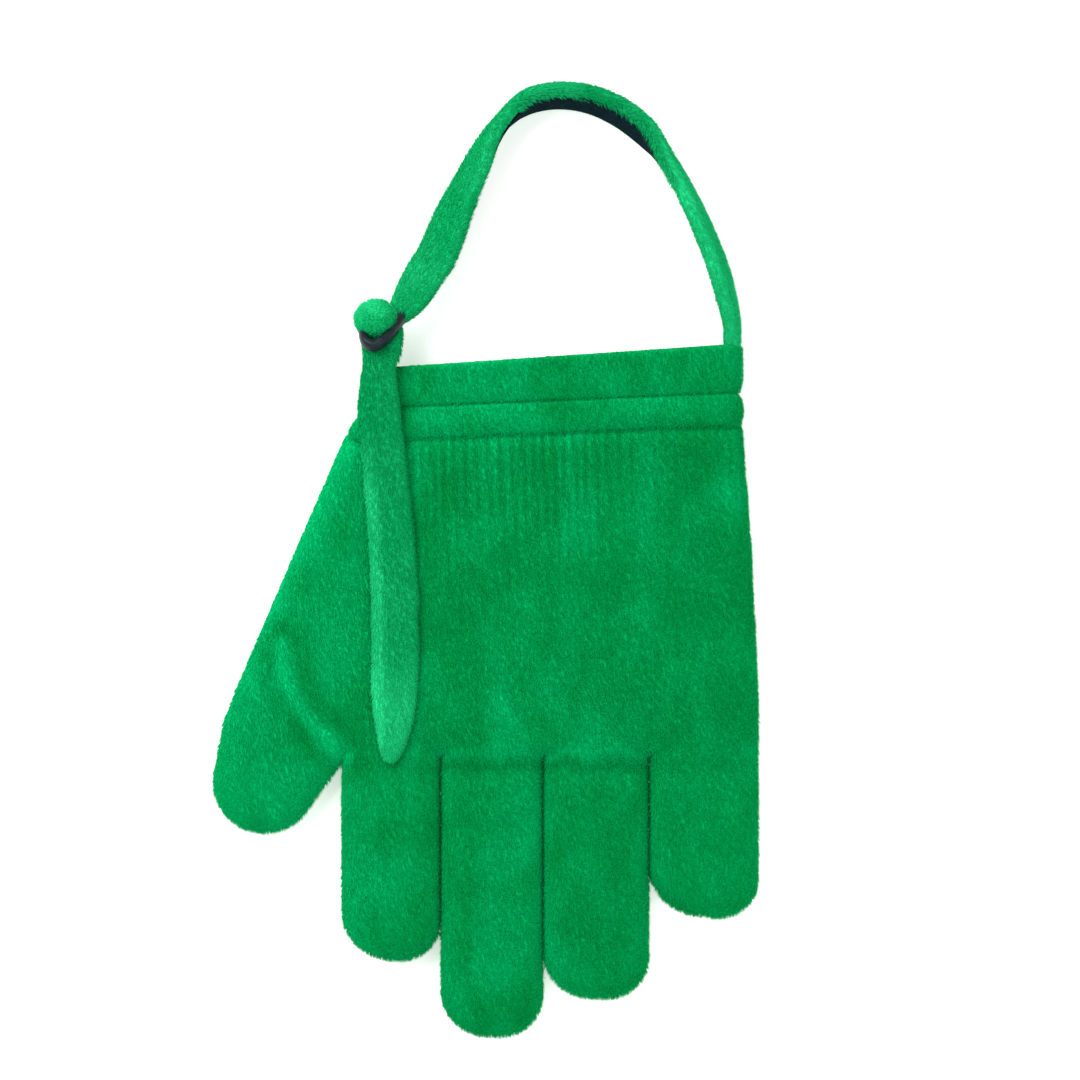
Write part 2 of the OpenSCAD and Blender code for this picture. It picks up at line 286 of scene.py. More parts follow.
def threadMaterial():
    mat, tree, shader = newMaterial("sewingThread", 0.8, specular=0.03)
    place = tree.nodes.new("ShaderNodeTexCoord").outputs["Object"]
    twist = node(tree, "ShaderNodeTexWave", {"wave_type": "BANDS", "bands_direction": "DIAGONAL"},
                 Scale=900, Distortion=0.5)
    tree.links.new(place, twist.inputs["Vector"])
    tree.links.new(mixColor(tree, twist.outputs["Fac"], (0.0003, 0.09, 0.02, 1),
                            (0.0008, 0.20, 0.05, 1)), shader.inputs["Base Color"])
    addBump(tree, shader, twist.outputs["Fac"], 0.6, 0.0002)
    return mat


def elasticMaterial():
    mat, tree, shader = newMaterial("wovenElastic", 0.8, 0.2)
    place = tree.nodes.new("ShaderNodeTexCoord").outputs["Object"]
    ribs = node(tree, "ShaderNodeTexWave", {"wave_type": "BANDS", "bands_direction": "Y"},
                Scale=420, Distortion=0.4)
    tree.links.new(place, ribs.inputs["Vector"])
    tree.links.new(mixColor(tree, ribs.outputs["Fac"], (0.50, 0.48, 0.42, 1), (0.80, 0.78, 0.70, 1)),
                   shader.inputs["Base Color"])
    addBump(tree, shader, ribs.outputs["Fac"], 0.7, 0.0003)
    return mat


tape = tapeMaterial()
ringPlastic = ringMaterial()
thread = threadMaterial()
elasticWeave = elasticMaterial()
print("materials made")


# mesh helpers, in millimetres until the mesh is made

def ripple(x, y, scale, seed):
    return noise.noise(Vector((x / scale, y / scale, seed)))


def smooth(t):
    t = min(max(t, 0.0), 1.0)
    return t * t * (3 - 2 * t)


def splineThrough(points, steps):
    pts = [np.array(p, float) for p in points]
    pts = [2 * pts[0] - pts[1]] + pts + [2 * pts[-1] - pts[-2]]
    out = []
    for i in range(1, len(pts) - 2):
        a, b, c, d = pts[i - 1:i + 3]
        for k in range(steps):
            t = k / steps
            out.append(0.5 * (2 * b + (c - a) * t + (2 * a - 5 * b + 4 * c - d) * t * t
                              + (3 * b - a - 3 * c + d) * t ** 3))
    out.append(pts[-2])
    return out


def makeObject(name, verts, faces, mat, naps=None, tones=None):
    mesh = bpy.data.meshes.new(name)
    mesh.from_pydata([tuple(c * mm for c in v) for v in verts], [], faces)
    mesh.materials.append(mat)
    mesh.shade_smooth()
    if naps is not None:
        mesh.attributes.new("nap", "FLOAT_VECTOR", "POINT")
        mesh.attributes["nap"].data.foreach_set("vector", np.array(naps, np.float32).ravel())
        # tone: painted highlight and painted shade, with random tone
        mesh.attributes.new("tone", "FLOAT", "POINT")
        tones = np.zeros(len(verts)) if tones is None else np.array(tones)
        mesh.attributes["tone"].data.foreach_set("value", tones.astype(np.float32))
    piece = bpy.data.objects.new(name, mesh)
    collection.objects.link(piece)
    return piece


def loft(rings, closeEnds=True):
    n = len(rings[0])
    verts = [p for ring in rings for p in ring]
    faces = []
    for r in range(len(rings) - 1):
        for k in range(n):
            a, b = r * n + k, r * n + (k + 1) % n
            faces.append((a, b, b + n, a + n))
    if closeEnds:
        faces.append(tuple(reversed(range(n))))
        faces.append(tuple(range((len(rings) - 1) * n, len(rings) * n)))
    return verts, faces


# pile: short tapering tufts planted all over a surface by a node tree

def makeTuft():
    corners = [(math.cos(a), math.sin(a), -0.06) for a in (0, 2 * math.pi / 3, 4 * math.pi / 3)]
    mesh = bpy.data.meshes.new("tuft")
    mesh.from_pydata(corners + [(0, 0, 1)], [], [(0, 2, 1), (0, 1, 3), (1, 2, 3), (2, 0, 3)])
    mesh.shade_smooth()
    height = mesh.attributes.new("pileHeight", "FLOAT", "POINT")
    height.data.foreach_set("value", [0, 0, 0, 1])
    tuft = bpy.data.objects.new("tuft", mesh)
    collection.objects.link(tuft)
    return tuft


def startTree(name, sizes):
    tree = bpy.data.node_groups.new(name, "GeometryNodeTree")
    kinds = {"Geometry": "Geometry", "Copied": "Object", "Material": "Material", "Seed": "Int"}
    for label in ("Geometry", "Copied", *sizes, "Material"):
        kind = kinds.get(label, "Float")
        tree.interface.new_socket(label, in_out="INPUT", socket_type="NodeSocket" + kind)
    tree.interface.new_socket("Geometry", in_out="OUTPUT", socket_type="NodeSocketGeometry")
    return tree, tree.nodes.new("NodeGroupInput")


def plantCopies(tree, given, points, turned, scale=None):
    link = tree.links.new
    copied = node(tree, "GeometryNodeObjectInfo")
    link(given.outputs["Copied"], copied.inputs["Object"])
    plant = tree.nodes.new("GeometryNodeInstanceOnPoints")
    link(points, plant.inputs["Points"])
    link(copied.outputs["Geometry"], plant.inputs["Instance"])
    link(turned, plant.inputs["Rotation"])
    if scale is not None:
        link(scale, plant.inputs["Scale"])
    real = tree.nodes.new("GeometryNodeRealizeInstances")
    link(plant.outputs["Instances"], real.inputs["Geometry"])
    paint = tree.nodes.new("GeometryNodeSetMaterial")
    link(real.outputs["Geometry"], paint.inputs["Geometry"])
    link(given.outputs["Material"], paint.inputs["Material"])
    link(paint.outputs["Geometry"], tree.nodes.new("NodeGroupOutput").inputs["Geometry"])


def makePileTree():
    tree, given = startTree("plantPile", ("Density", "Length", "Width", "Stand", "Scatter",
                                          "Brushing", "Seed"))
    link = tree.links.new

    spread = node(tree, "GeometryNodeDistributePointsOnFaces", {"distribute_method": "RANDOM"})
    link(given.outputs["Geometry"], spread.inputs["Mesh"])
    link(given.outputs["Density"], spread.inputs["Density"])
    link(given.outputs["Seed"], spread.inputs["Seed"])

    def scaled(vector, factor):
        made = node(tree, "ShaderNodeVectorMath", {"operation": "SCALE"})
        link(vector, made.inputs[0])
        if isinstance(factor, bpy.types.NodeSocket):
            link(factor, made.inputs["Scale"])
        else:
            made.inputs["Scale"].default_value = factor
        return made.outputs[0]

    def added(a, b):
        made = node(tree, "ShaderNodeVectorMath", {"operation": "ADD"})
        link(a, made.inputs[0])
        link(b, made.inputs[1])
        return made.outputs[0]

    nap = node(tree, "GeometryNodeInputNamedAttribute", {"data_type": "FLOAT_VECTOR"}, Name="nap")
    jitter = node(tree, "FunctionNodeRandomValue", {"data_type": "FLOAT_VECTOR"})
    jitter.inputs["Min"].default_value = (-1, -1, -1)
    jitter.inputs["Max"].default_value = (1, 1, 1)
    link(given.outputs["Seed"], jitter.inputs["Seed"])
    brush = node(tree, "ShaderNodeTexNoise", None, Scale=70.0, Detail=2.0)
    link(tree.nodes.new("GeometryNodeInputPosition").outputs[0], brush.inputs["Vector"])
    centred = node(tree, "ShaderNodeVectorMath", {"operation": "SUBTRACT"})
    link(brush.outputs["Color"], centred.inputs[0])
    centred.inputs[1].default_value = (0.5, 0.5, 0.5)
    way = added(scaled(spread.outputs["Normal"], given.outputs["Stand"]), nap.outputs["Attribute"])
    way = added(way, scaled(jitter.outputs["Value"], given.outputs["Scatter"]))
    way = added(way, scaled(centred.outputs[0], given.outputs["Brushing"]))
    turn = node(tree, "FunctionNodeAlignRotationToVector", {"axis": "Z"})
    link(way, turn.inputs["Vector"])

    size = node(tree, "ShaderNodeCombineXYZ")
    link(given.outputs["Width"], size.inputs["X"])
    link(given.outputs["Width"], size.inputs["Y"])
    link(given.outputs["Length"], size.inputs["Z"])
    vary = node(tree, "FunctionNodeRandomValue", {"data_type": "FLOAT"})
    vary.inputs[2].default_value = 0.7
    vary.inputs[3].default_value = 1.25
    link(given.outputs["Seed"], vary.inputs["Seed"])
    plantCopies(tree, given, spread.outputs["Points"], turn.outputs["Rotation"],
                scaled(size.outputs[0], vary.outputs[1]))
    return tree


tuft = makeTuft()
pileTree = makePileTree()
tuftLoops = 12


def setInputs(modifier, values):
    for item in modifier.node_group.interface.items_tree:
        if item.item_type == "SOCKET" and item.in_out == "INPUT" and item.name in values:
            modifier[item.identifier] = values[item.name]


def evaluated(obj, name):
    graph = bpy.context.evaluated_depsgraph_get()
    graph.update()
    mesh = bpy.data.meshes.new_from_object(obj.evaluated_get(graph))
    mesh.name = name
    made = bpy.data.objects.new(name, mesh)
    collection.objects.link(made)
    return made


def layOutTufts(mesh):
    loops = len(mesh.loops)
    count = loops // tuftLoops
    side = max(math.ceil(math.sqrt(count)), 1)
    index = np.arange(count)
    corner = np.stack([index % side, index // side], 1) / side
    vertex = np.empty(loops, np.int32)
    mesh.loops.foreach_get("vertex_index", vertex)
    spot = np.array([(0.2, 0.2), (0.2, 0.8), (0.35, 0.5), (0.8, 0.5)]) / side
    uv = np.repeat(corner, tuftLoops, 0) + spot[vertex % 4]
    layer = mesh.uv_layers.new(name="OFBake")
    layer.data.foreach_set("uv", uv.astype(np.float32).ravel())


def addPile(name, base, mat, density, length, width, seed, stand=0.55, scatter=0.35, brushing=0.5,
            keep=None):
    source = bpy.data.objects.new("pileBase", base.data.copy())
    collection.objects.link(source)
    if keep is not None:
        mesh = source.data
        bm = bmesh.new()
        bm.from_mesh(mesh)
        drop = [f for f in bm.faces if not keep(f)]
        bmesh.ops.delete(bm, geom=drop, context="FACES")
        bm.to_mesh(mesh)
        bm.free()
    mod = source.modifiers.new("pile", "NODES")
    mod.node_group = pileTree
    setInputs(mod, {"Copied": tuft, "Density": density * 1.0e6, "Length": length * mm,
                    "Width": width * mm, "Stand": stand, "Scatter": scatter,
                    "Brushing": brushing, "Seed": seed, "Material": mat})
    made = evaluated(source, name)
    bpy.data.objects.remove(source)
    layOutTufts(made.data)
    return made


# the hand: one inflated outline, cut into panels where the cloth bends

hand = {
    "step": 1.6,
    "inset": 0.2,  # the pile stands this far outside the cloth
    "rim": 8.0,
    "middle": 7.6,
    "front": 6.6,
    "back": 6.0,
    "crown": 1.3,
    "tipRound": 17.2,
    "webY": -74.5,
    "fingers": {
        # left, right, tip and how far the tip slants down to the right
        "index": (-55.1, -17.25, -152.6, -0.1),
        "middle": (-17.35, 21.7, -181.7, -0.04),
        "ring": (21.6, 62.0, -167.2, -0.05),
        "little": (61.9, 103.7, -136.0, -0.12),
    },
    "palm": [(-39.4, 80), (-94.6, -48), (-98.2, -57.8), (-54.9, -74.5), (103.7, -74.5),
             (103.7, -53.8), (100.7, 7), (97.3, 50.7), (95.0, 80)],
    "thumb": ((-84.3, -84.7), 19.6, (-64, -45), 27.0),
    "thumbSide": ((-84.3, -84.7), 19.6, (-79.6, -68), 21.2),
    "crease": [(-77, -33), (-75.5, -46), (-68, -60), (-54, -75)],
    "cuffSlope": math.tan(math.radians(2.4)),
    "lowSeam": 46.6,
    "highSeam": 58.9,
}


def boxInside(x, y, x0, x1, y0, y1, r):
    qx = abs(x - (x0 + x1) / 2) - ((x1 - x0) / 2 - r)
    qy = abs(y - (y0 + y1) / 2) - ((y1 - y0) / 2 - r)
    return r - math.hypot(max(qx, 0), max(qy, 0)) - min(max(qx, qy), 0)


def coneInside(x, y, a, ra, b, rb):
    dx, dy = b[0] - a[0], b[1] - a[1]
    t = ((x - a[0]) * dx + (y - a[1]) * dy) / (dx * dx + dy * dy)
    t = min(max(t, 0), 1)
    return ra + (rb - ra) * t - math.hypot(x - a[0] - dx * t, y - a[1] - dy * t)


def palmInside(x, y):
    best = 1e9
    pts = hand["palm"]
    for k, (x0, y0) in enumerate(pts):
        x1, y1 = pts[(k + 1) % len(pts)]
        d = ((x1 - x0) * (y - y0) - (y1 - y0) * (x - x0)) / math.hypot(x1 - x0, y1 - y0)
        if y0 == y1 == hand["webY"]:
            d *= 1.8
        best = min(best, d)
    return best


def handInside(x, y):
    h = hand
    thumb = max(coneInside(x, y, *h["thumb"]), coneInside(x, y, *h["thumbSide"]))
    best = max(palmInside(x, y), thumb)
    for x0, x1, tip, slant in h["fingers"].values():
        if x0 - 3 < x < x1 + 3:
            low = y - slant * (x - (x0 + x1) / 2) * smooth((tip + 40 - y) / 30)
            best = max(best, boxInside(x, low, x0, x1, tip, -48, h["tipRound"]))
    return best - h["inset"]


def creaseAt(x, y):
    best = 1e9
    pts = hand["crease"]
    for (x0, y0), (x1, y1) in zip(pts, pts[1:]):
        dx, dy = x1 - x0, y1 - y0
        t = min(max(((x - x0) * dx + (y - y0) * dy) / (dx * dx + dy * dy), 0), 1)
        best = min(best, math.hypot(x - x0 - dx * t, y - y0 - dy * t))
    return best


def gatherAt(x, y):
    below = hand["lowSeam"] + x * hand["cuffSlope"] - y
    reach = math.exp(-(max(below, 0) / 44) ** 2) * smooth((x + 34) / 14)
    reach *= 0.35 + 0.65 * smooth((62 - x) / 24)
    return reach * math.sin((x + 0.06 * y) * 1.5 + 2.2 * ripple(x, y * 0.5, 26, 9.0))


def handLightAndTone(x, y, d):
    below = hand["lowSeam"] + x * hand["cuffSlope"] - y
    near = creaseAt(x, y)
    slant = abs((x - 8) * 0.83 + (y + 58) * 0.56)
    beside = smooth((x + 56) / 8)
    # painted highlight along the rim and painted light falling from the left; the ripples are random
    # tone
    tone = 0.42 * math.exp(-max(d, 0) / 3.2) + 0.3 * smooth((-18 - x) / 45)
    tone += 0.32 * ripple(x, y, 24, 11.0) + 0.3 * ripple(x, y * 0.6, 11, 12.0)
    # a stronger painted highlight on the left rim above the thumb
    tone += 0.6 * math.exp(-max(d, 0) / 4.5) * smooth((-42 - x) / 12) * smooth((y + 40) / 25)
    # painted highlight along the thumb crease ridge, painted shade just beside it
    tone += 0.7 * math.exp(-(near / 3.4) ** 2) - 0.35 * math.exp(-((near - 7) / 4) ** 2)
    beside *= 0.35 + 0.65 * smooth((x + 22) / 8) * smooth((68 - x) / 8)
    row = y + 1.6 * ripple(x, 0, 9, 6.0)
    # painted highlight and painted shade in a band at the base of the fingers
    tone += 0.45 * beside * math.exp(-((row + 73) / 2.6) ** 2)
    tone -= 0.6 * beside * math.exp(-((row + 78.5) / 2.2) ** 2)
    # a painted highlight patch on the right of the palm
    tone += 0.4 * math.exp(-((x - 87) ** 2 + (y - 26) ** 2) / 130)
    # painted highlight along the slanted ridge on the palm
    tone += 0.55 * math.exp(-(slant / 1.8) ** 2) * math.exp(-(((x - 8) ** 2 + (y + 58) ** 2) / 90))
    # painted light and shade across the gathered ripples under the cuff
    tone += 0.27 * gatherAt(x, y)
    # lighter just below the cuff seam, and painted light falling off towards the right
    tone += 0.25 * math.exp(-max(below, 0) / 6) - 0.15 * smooth((x - 20) / 40)
    return tone


def handHeights(x, y, d):
    h = hand
    t = 1 - min(d / h["rim"], 1)
    bulge = math.sqrt(max(1 - t * t, 0))
    crown = h["crown"] * (1 - math.exp(-max(d - h["rim"] / 2, 0) / 16))
    top = h["front"] * bulge + crown
    top += bulge * (0.55 * ripple(x, y, 26, 1.3) + 0.3 * ripple(x, y, 10, 4.1))
    seam = h["lowSeam"] + x * h["cuffSlope"]
    below = seam - y
    top += bulge * 0.34 * gatherAt(x, y)
    top -= 1.5 * math.exp(-(max(below, 0) / 2.6) ** 2)  # pulled down where the casing is sewn on
    near = creaseAt(x, y)
    top += bulge * (0.9 * math.exp(-(near / 3.2) ** 2) - 0.7 * math.exp(-((near - 6) / 4) ** 2))
    base = math.exp(-((y + 79) / 5) ** 2) * smooth((x + 56) / 8)
    base *= 0.5 + 0.5 * smooth((x + 22) / 8) * smooth((68 - x) / 8)
    top -= bulge * 1.2 * base
    slant = abs((x - 8) * 0.83 + (y + 58) * 0.56)
    top += bulge * 0.5 * math.exp(-(slant / 2.4) ** 2) * math.exp(-((x - 8) / 9) ** 2)
    bottom = h["back"] * bulge
    return h["middle"] + top, h["middle"] - bottom


def gridLines(marks):
    lines = []
    for a, b in zip(marks, marks[1:]):
        n = max(round((b - a) / hand["step"]), 1)
        lines += [a + (b - a) * k / n for k in range(n)]
    return lines + [marks[-1]]


def outlineCells():
    h = hand
    marks = [-106.0, 106.0]
    for x0, x1, tip, slant in h["fingers"].values():
        marks += [x0 + h["inset"], x1 - h["inset"]]
    xs, ys = gridLines(sorted(marks)), gridLines([-184.0, 56.0])
    value = [[handInside(x, y) for y in ys] for x in xs]
    cells = []
    for i in range(len(xs) - 1):
        for j in range(len(ys) - 1):
            cell = [(i, j), (i + 1, j), (i + 1, j + 1), (i, j + 1)]
            if not any(value[a][b] > 1e-6 for a, b in cell):
                continue
            face = []
            for k in range(4):
                (a, b), (c, d) = sorted((cell[k], cell[(k + 1) % 4]))
                if value[cell[k][0]][cell[k][1]] > 1e-6:
                    face.append((xs[cell[k][0]], ys[cell[k][1]], False))
                if (value[a][b] > 1e-6) != (value[c][d] > 1e-6):
                    t = min(max(value[a][b] / (value[a][b] - value[c][d]), 0), 1)
                    face.append((xs[a] + (xs[c] - xs[a]) * t, ys[b] + (ys[d] - ys[b]) * t, True))
            cells.append(face)
    return cells


def clipFace(face, limit):
    (px, py), (dx, dy) = limit
    side = [(x - px) * dx + (y - py) * dy for x, y, rim in face]
    if min(side) >= 0:
        return face
    out = []
    for k, (here, sideHere) in enumerate(zip(face, side)):
        there, sideThere = face[(k + 1) % len(face)], side[(k + 1) % len(face)]
        if sideHere >= 0:
            out.append(here)
        if (sideHere >= 0) != (sideThere >= 0):
            t = sideHere / (sideHere - sideThere)
            out.append((here[0] + (there[0] - here[0]) * t, here[1] + (there[1] - here[1]) * t,
                        here[2] and there[2]))
    return out


cells = outlineCells()


def makePanel(name, limits):
    verts, tones, known, tops, bottoms = [], [], {}, [], []
    for face in cells:
        for limit in limits:
            if len(face) > 2:
                face = clipFace(face, limit)
        if len(face) < 3:
            continue
        top, bottom = [], []
        for x, y, rim in face:
            key = (round(x, 3), round(y, 3))
            if key not in known:
                d = handInside(x, y)
                if rim:
                    heights = (hand["middle"],)
                else:
                    heights = handHeights(x, y, max(d, 0))
                known[key] = (len(verts), len(verts) + len(heights) - 1)
                verts += [(x, y, z) for z in heights]
                tones += [handLightAndTone(x, y, d)] * len(heights)
            a, b = known[key]
            if a not in top:
                top.append(a)
            if b not in bottom:
                bottom.append(b)
        if len(top) > 2:
            tops.append(top)
        if len(bottom) > 2:
            bottoms.append(bottom[::-1])
    naps = [(0.05 + 0.12 * ripple(x, y, 40, 7.7), -1.0, 0.0) for x, y, z in verts]
    return makeObject(name, verts, tops + bottoms, cloth, naps, tones)


def halfPlane(point, direction):
    n = math.hypot(*direction)
    return point, (direction[0] / n, direction[1] / n)


def jointAt(name):
    return [c / mm for c in joints[name]["pos_m"]]


pileLook = {
    "front": {"density": 4.2, "length": 1.6, "width": 0.17, "stand": 0.75},
    "back": {"density": 1.4, "length": 1.4, "width": 0.26, "stand": 0.5},
}
quickShare = 1.0


def clothPiece(base, move, nodes, name, seed):
    fronts = []
    halves = {"_front": lambda f: f.normal.z > -0.25}
    if name == "palm":
        halves = {"_left": lambda f: f.normal.z > -0.25 and f.calc_center_median().x < 0.024,
                  "_right": lambda f: f.normal.z > -0.25 and f.calc_center_median().x >= 0.024}
    for half, keep in halves.items():
        fronts.append(addPile("pile_" + name + half, base, pile, seed=seed, keep=keep,
                              **scaledLook("front")))
    back = addPile("pile_" + name + "_back", base, pile, seed=seed + 1,
                   keep=lambda f: f.normal.z <= -0.25, **scaledLook("back"))
    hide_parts(*nodes)
    for piece in (base, *fronts, back):
        move(piece)
    print("  sewn", name, [len(piece.data.polygons) for piece in (*fronts, back)])


def scaledLook(side):
    look = dict(pileLook[side])
    look["density"] *= quickShare
    return look


def riding(body):
    return lambda piece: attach(piece, body)


def bending():
    return lambda piece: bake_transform(piece)


bends = {
    "rootStart": -73.0,
    "rootEnd": -97.0,
    "tipReach": 12.5,
    "foldStart": -54.9,
    "foldEnd": -67.0,
    "thumbReach": 12.0,
}
gaps = {"index": (-200, -17.3), "middle": (-17.3, 21.65), "ring": (21.65, 61.95),
        "little": (61.95, 200)}


def makeHand():
    b = bends
    seam = (0, hand["lowSeam"] + 2.5)
    up = (math.sin(math.radians(2.4)), -math.cos(math.radians(2.4)))
    belowSeam = halfPlane(seam, up)
    overWebs = halfPlane((0, b["rootStart"]), (0, 1))
    palmBase = makePanel("palm", [belowSeam, overWebs, halfPlane((b["foldStart"], 0), (1, 0))])
    clothPiece(palmBase, riding("glove"), ["palm_front", "palm_back"], "palm", 11)

    axis = joints["thumb_bend"]["axis"]
    place = jointAt("thumb_bend")
    along = (-abs(axis[1]), -abs(axis[0]))  # towards the tip of the thumb
    bendCut = (place[0] - along[0] * b["thumbReach"], place[1] - along[1] * b["thumbReach"])
    leftOfFold = halfPlane((b["foldStart"], 0), (-1, 0))
    beforeBend = halfPlane(bendCut, (-along[0], -along[1]))
    thumbRoot = makePanel("thumb_root", [leftOfFold, belowSeam, beforeBend])
    clothPiece(thumbRoot, bending(),
               ["thumb_base_front", "thumb_base_back"], "thumb_root", 21)
    thumbTip = makePanel("thumb_tip", [halfPlane(bendCut, along), leftOfFold])
    clothPiece(thumbTip, bending(),
               ["thumb_tip_front", "thumb_tip_back"], "thumb_tip", 31)

    for number, (finger, (left, right)) in enumerate(gaps.items()):
        middle = jointAt(finger + "_bend")[1]
        start = min(middle + b["tipReach"], b["rootEnd"])
        cut = (b["rootEnd"] + start) / 2
        sides = [halfPlane((left, 0), (1, 0)), halfPlane((right, 0), (-1, 0))]
        if finger == "index":
            sides[0] = halfPlane((b["foldStart"], 0), (1, 0))
        root = makePanel(finger + "_root", sides + [halfPlane((0, b["rootStart"]), (0, -1)),
                                                    halfPlane((0, cut), (0, 1))])
        move = bending()
        clothPiece(root, move, [finger + "_base_front", finger + "_base_back"], finger + "_root",
                   41 + 10 * number)
        tip = makePanel(finger + "_tip", sides + [halfPlane((0, cut), (0, -1))])
        clothPiece(tip, bending(),
                   [finger + "_tip_front", finger + "_tip_back"], finger + "_tip", 46 + 10 * number)


makeHand()
print("hand made")


# cuff: two rolled bands, the elastic in the lower one and the sleeve inside

cuff = {
    "left": -47.2,
    "right": 97.2,
    "flare": 5.4,
    "middle": 8.2,
    "flatAt": 1.3,  # the underside lies flat at this height
    "half": 7.9,
    "round": 8.0,
    "bulge": 1.3,
    "hemLeft": 71.6,
    "hemRight": 81.4,
    "wall": 3.4,
    "around": 132,
}


def cuffRing(inset, yAt):
    c = cuff
    half = c["half"] - inset
    flare = c["flare"] * smooth((58 - yAt(c["left"])) / 12)
    x0, x1 = c["left"] - flare + inset, c["right"] - inset
    straight = (x1 - x0) - 2 * half
    total = 2 * straight + 2 * math.pi * half
    ring = []
    for k in range(c["around"]):
        s = k / c["around"] * total
        if s < straight:
            x, z = x0 + half + s, half
        elif s < straight + math.pi * half:
            a = math.pi / 2 - (s - straight) / half
            x, z = x1 - half + half * math.cos(a), half * math.sin(a)
        elif s < 2 * straight + math.pi * half:
            x, z = x1 - half - (s - straight - math.pi * half), -half
        else:
            a = -math.pi / 2 - (s - 2 * straight - math.pi * half) / half
            x, z = x0 + half + half * math.cos(a), half * math.sin(a)
        y = yAt(x)
        if z < 0:
            z = max(z, -(c["middle"] - c["flatAt"]))
        wave = 0.35 * ripple(x, y, 17, 2.0 + (z > 0)) + 0.2 * ripple(x, y, 7, 5.0 + (z > 0))
        ring.append((x, y, c["middle"] + z + (wave if z > 0 else 0.3 * max(wave, 0))))
    return ring


def lowSeamAt(x):
    return hand["lowSeam"] + x * hand["cuffSlope"]


def highSeamAt(x):
    return hand["highSeam"] + x * hand["cuffSlope"]


def hemTopAt(x):
    c = cuff
    t = (x - c["left"]) / (c["right"] - c["left"])
    return c["hemLeft"] + (c["hemRight"] - c["hemLeft"]) * t


def between(a, b, t):
    return lambda x: a(x) + (b(x) - a(x)) * t


def makeBand(name, profile, low, high, close=False):
    rings = [cuffRing(inset, between(low, high, t)) for t, inset in profile]
    verts, faces = loft(rings, close)
    middle = (len(rings) // 3) * len(rings[0]) + 10
    a, b, c = (np.array(verts[k]) for k in (middle, middle + 1, middle + len(rings[0])))
    if np.cross(b - a, c - a)[2] < 0:
        faces = [tuple(reversed(f)) for f in faces]
    tones = [0.25 + 0.3 * ripple(x, y, 20, 21.0) + 0.3 * ripple(x, y, 9, 22.0) for x, y, z in verts]
    return makeObject(name, verts, faces, cloth, [(0.03, -1.0, 0.0)] * len(verts), tones)


def makeCuff():
    c = cuff
    rows = 11
    casing = [(-0.08, 3.2)]
    for k in range(rows):
        t = k / (rows - 1)
        casing.append((t, 2.0 - (1.0 + c["bulge"]) * math.sin(math.pi * t) ** 0.55))
    casing.append((1.08, 3.2))
    casing = [(t, inset) for t, inset in casing]
    band = makeBand("casing", list(reversed(casing)), lowSeamAt, highSeamAt)
    clothPiece(band, riding("glove"), ["casing_front", "casing_back"], "casing", 91)

    hem = [(-0.05, 3.0)]
    for k in range(rows + 3):
        t = k / (rows + 2)
        hem.append((t * 0.9, 2.0 - (1.0 + 0.8 * c["bulge"]) * math.sin(math.pi * min(t, 0.5)) ** 0.5))
    top = hem[-1][1]
    for k in range(1, 7):
        a = math.pi * k / 6
        hem.append((0.9 + 0.1 * math.sin(a), top + c["wall"] / 2 * (1 - math.cos(a))))
    hem.append((0.5, top + c["wall"] + 0.2))
    hem.append((-0.3, top + c["wall"] + 0.4))
    band = makeBand("hem", list(reversed(hem)), highSeamAt, hemTopAt)
    clothPiece(band, riding("glove"), ["hem_front", "hem_back"], "hem", 95)

    deep = [(0.0, 3.9), (0.4, 4.2), (0.8, 4.8), (1.0, 6.2)]
    band = makeBand("sleeve", deep, between(highSeamAt, hemTopAt, 0.3), lambda x: 5.0 + 0.04 * x, True)
    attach(band, "glove")

    strip = [(0.2, 3.2), (0.8, 3.2), (0.8, 4.2), (0.2, 4.2), (0.2, 3.2)]
    rings = [cuffRing(inset, between(lowSeamAt, highSeamAt, t)) for t, inset in reversed(strip)]
    verts, faces = loft(rings, False)
    elastic = makeObject("elastic", verts, faces, elasticWeave)
    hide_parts("cuff_elastic")
    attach(elastic, "glove")


makeCuff()
print("cuff made")


# bands swept along a route: strap, tape, tail and tab

def frameAlong(points):
    out = []
    for i, p in enumerate(points):
        a, b = points[max(i - 1, 0)], points[min(i + 1, len(points) - 1)]
        d = np.array(b[:3]) - np.array(a[:3])
        out.append(d / np.linalg.norm(d))
    return out


def sweep(route, section):
    ways = frameAlong(route)
    rings, tangents = [], []
    for i, (p, way) in enumerate(zip(route, ways)):
        flat = np.array((way[1], -way[0], 0.0))
        flat /= np.linalg.norm(flat)
        lean = math.radians(p[3])
        across = np.array((0, 0, 1.0)) * math.cos(lean) + flat * math.sin(lean)
        across -= way * across.dot(way)
        across /= np.linalg.norm(across)
        outward = np.cross(way, across)
        if outward.dot(flat) < 0 and abs(lean) < 1.5:
            outward = -outward
        ring = [tuple(np.array(p[:3]) + across * u + outward * m) for u, m in section(i, p)]
        rings.append(ring)
        tangents += [tuple(way)] * len(ring)
    return rings, tangents


def isInward(rings):
    a = np.array(rings[0])
    b = np.array(rings[1])
    centre = a.mean(0)
    n = np.cross(a[1] - a[0], b[0] - a[0])
    return n.dot(a[0] - centre) < 0


def sweepObject(name, route, section, mat, napSign=1.0, toneAt=None):
    rings, tangents = sweep(route, section)
    tones = None
    verts, faces = loft(rings)
    if isInward(rings):
        faces = [tuple(reversed(f)) for f in faces]
    if toneAt is not None:
        tones = [toneAt(*v) for v in verts]
    return makeObject(name, verts, faces, mat, [tuple(napSign * c for c in t) for t in tangents], tones)


